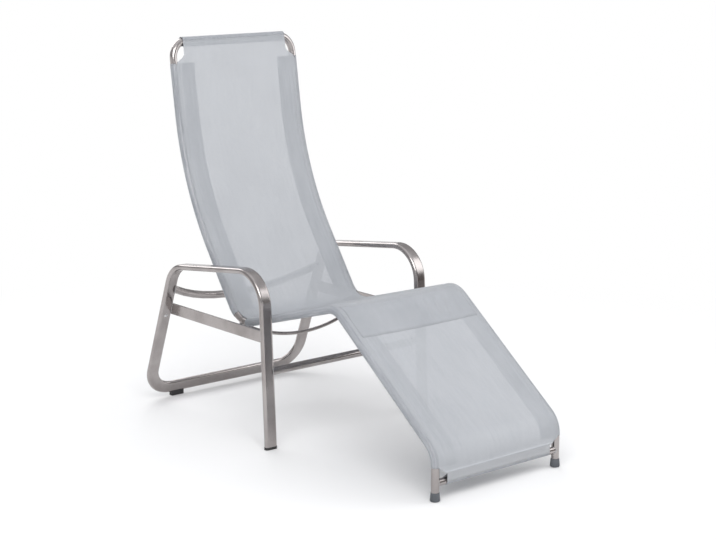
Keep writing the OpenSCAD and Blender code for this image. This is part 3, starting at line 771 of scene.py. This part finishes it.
lug = {"thick": 13 * mm, "wide": 23 * mm, "start": 1 * mm, "reach": 20 * mm, "bead": 1.4 * mm}
toRail = Vector((0, *(hipCentre - Vector(pivot)).normalized()))
alongLug = Vector((0, toRail.z, -toRail.y))
lugStart = Vector((railX, pivot[0] - middleY, pivot[1])) + toRail * lug["start"]


def inHipBend(p):
    fromCentre = math.hypot(p.y + middleY - hipCentre.x, p.z - hipCentre.y)
    return math.hypot(p.x - railX, fromCentre - bendR["hip"]) < railR


beads("lugWelds", "seat", bothSides(meetLine(
    boxRim(lugStart, lug["thick"], lug["wide"], crossX, alongLug), toRail, inHipBend,
    lug["reach"])), lug["bead"])

rod = {"radius": 6 * mm, "bow": 62 * mm, "back": 4 * mm, "stop": 0.3 * mm, "reach": 12 * mm,
       "bead": 1.3 * mm}
lugInner = railX - lug["thick"] / 2
rodR = bowRadius(lugInner, rod["bow"])
rodStart = Vector((0, pivot[0] - middleY, pivot[1]))
inRod, outRod = (onBow(x, rodR, rod["bow"], rodStart, Vector((0, 0, -1)))
                 for x in (lugInner - rod["back"], lugInner))
rodWay = (outRod - inRod).normalized()
beads("rodWelds", "seat", bothSides(meetLine(
    ringRim(inRod, rodWay, rod["radius"], 32), rodWay,
    lambda p: p.x > lugInner - rod["stop"], rod["reach"])), rod["bead"])

footBar = {"height": footBarH, "radius": footBarR, "back": 16 * mm, "bead": 1.5 * mm}
footRim = ringRim(Vector((railX - footBar["back"], foot.x - middleY, footBar["height"])),
                  crossX, footBar["radius"])
beads("footCrossbarWelds", "seat", bothSides(meetLine(
    footRim, crossX, lambda p: math.hypot(p.x - railX, p.y + middleY - foot.x) < railR,
    footBar["back"])), footBar["bead"])
print("welds done")


# the camera was fitted to the tubes' centre lines in the photograph
view = {"azimuth": -39.59, "elevation": 12.04, "distance": 5.655, "aim": (0, -0.046, 0.557),
        "focal": 1722.9, "picture": 716, "sensor": 36}
azimuth, elevation = math.radians(view["azimuth"]), math.radians(view["elevation"])
target = Vector((view["aim"][0], view["aim"][1] - middleY, view["aim"][2]))
back = Vector((math.sin(azimuth) * math.cos(elevation), -math.cos(azimuth) * math.cos(elevation),
               math.sin(elevation)))
camData = bpy.data.cameras.new("camera")
camData.sensor_width = view["sensor"]
camData.lens = view["focal"] / view["picture"] * view["sensor"]
camData.clip_end = 100
camera = bpy.data.objects.new("camera", camData)
camera.location = target + back * view["distance"]
camera.rotation_euler = back.to_track_quat("Z", "Y").to_euler()
bpy.context.scene.collection.objects.link(camera)
bpy.context.scene.camera = camera

ground = {"size": 60, "below": 0.5 * mm, "color": (0.86, 0.86, 0.86), "rough": 0.7,
          "mottle": (3, 2), "mottleShare": 0.1,
          "white": (0.9, 2.6)}  # metres from the middle
bpy.ops.mesh.primitive_plane_add(size=ground["size"], location=(0, 0, -ground["below"]))
floor = bpy.context.object
floor.name = "floor"
floorPaint = Paint("paleFloor", ground["color"], ground["rough"])
floorPaint.feed("Roughness", floorPaint.noise(*ground["mottle"]) * ground["mottleShare"]
                + ground["rough"])
floor.data.materials.append(floorPaint.mat)

# away from the lounger the floor is plain white to whatever looks at it, and lights nothing more
x, y = floorPaint.axis(0, "Object"), floorPaint.axis(1, "Object")
far = (x * x + y * y).math("SQRT").ramp(*ground["white"])
looks = [floorPaint.node("ShaderNodeLightPath", out=ray)
         for ray in ("Is Camera Ray", "Is Glossy Ray", "Is Transmission Ray")]
seen = looks[0].math("MAXIMUM", looks[1]).math("MAXIMUM", looks[2])
whole = floorPaint.node("ShaderNodeMixShader", {}, {
    0: far * seen, 1: Sock(floorPaint, floorPaint.bsdf.outputs[0]),
    2: floorPaint.node("ShaderNodeEmission")})
floorPaint.put(floorPaint.tree.nodes["Material Output"].inputs[0], whole)

# the surroundings, from the horizon up: what the tubes mirror
sky = {"strength": 0.95, "horizon": (1.055, 1.055, 1.055), "zenith": (1.15, 1.16, 1.19),
       "bands": [(0.12, 0.85), (0.19, 0.24), (0.26, 0.24), (0.36, 0.58), (0.62, 0.52)],
       "blue": 1.02}
world = bpy.data.worlds.new("studio")
world.use_nodes = True
bpy.context.scene.world = world
skyGraph = Graph(world.node_tree)
bands = [(at, (tone, tone, tone * sky["blue"])) for at, tone in sky["bands"]]
gradient = skyGraph.node(
    "ShaderNodeValToRGB", {"stops": [(0.0, sky["horizon"]), *bands, (1.0, sky["zenith"])]},
    {0: skyGraph.axis(2, "Generated")})
background = world.node_tree.nodes["Background"]
skyGraph.put(background.inputs[0], gradient)
skyGraph.put(background.inputs[1], sky["strength"])


def softbox(name, place, aim, size, power):
    data = bpy.data.lights.new(name, "AREA")
    data.shape = "RECTANGLE"
    data.size, data.size_y = size
    data.energy = power
    obj = bpy.data.objects.new(name, data)
    obj.location = place
    obj.rotation_euler = (Vector(place) - Vector(aim)).to_track_quat("Z", "Y").to_euler()
    bpy.context.scene.collection.objects.link(obj)


lights = [
    {"name": "key", "place": (-2.2, -2.6, 3.4), "aim": (0, 0, 0.5), "size": (3.6, 2.6),
     "power": 115},
    {"name": "fill", "place": (3.2, -2.0, 2.4), "aim": (0, 0, 0.5), "size": (3.0, 2.4),
     "power": 45},
    {"name": "rim", "place": (0.5, 3.4, 2.8), "aim": (0, 0, 0.6), "size": (3.8, 1.8),
     "power": 60},
]
for light in lights:
    softbox(**light)


def flag(name, place, size, tone):
    # a dark card outside the picture that only the metal mirrors
    bpy.ops.mesh.primitive_plane_add(size=1, location=place)
    card = bpy.context.object
    card.name = name
    card.scale = (*size, 1)
    card.rotation_euler = Vector((place[0], place[1], 0)).to_track_quat("Z", "Y").to_euler()
    felt = Paint(name + "Felt", tone, 0.9)
    felt.feed("Alpha", felt.axis(1, "Object").ramp(-0.25, 0.5, 1.0, 0.0))  # fades upwards
    card.data.materials.append(felt.mat)
    card.visible_camera = card.visible_diffuse = False
    card.visible_shadow = card.visible_transmission = False


cards = [
    {"name": "warmFlag", "place": (1.35, -1.75, 0.75), "size": (1.7, 1.5),
     "tone": (0.10, 0.082, 0.075)},
    {"name": "sideFlag", "place": (-2.3, 0.5, 0.8), "size": (0.6, 1.6),
     "tone": (0.12, 0.11, 0.11)},
]
for card in cards:
    flag(**card)

bpy.context.scene.view_settings.view_transform = "Standard"
print("stage done")
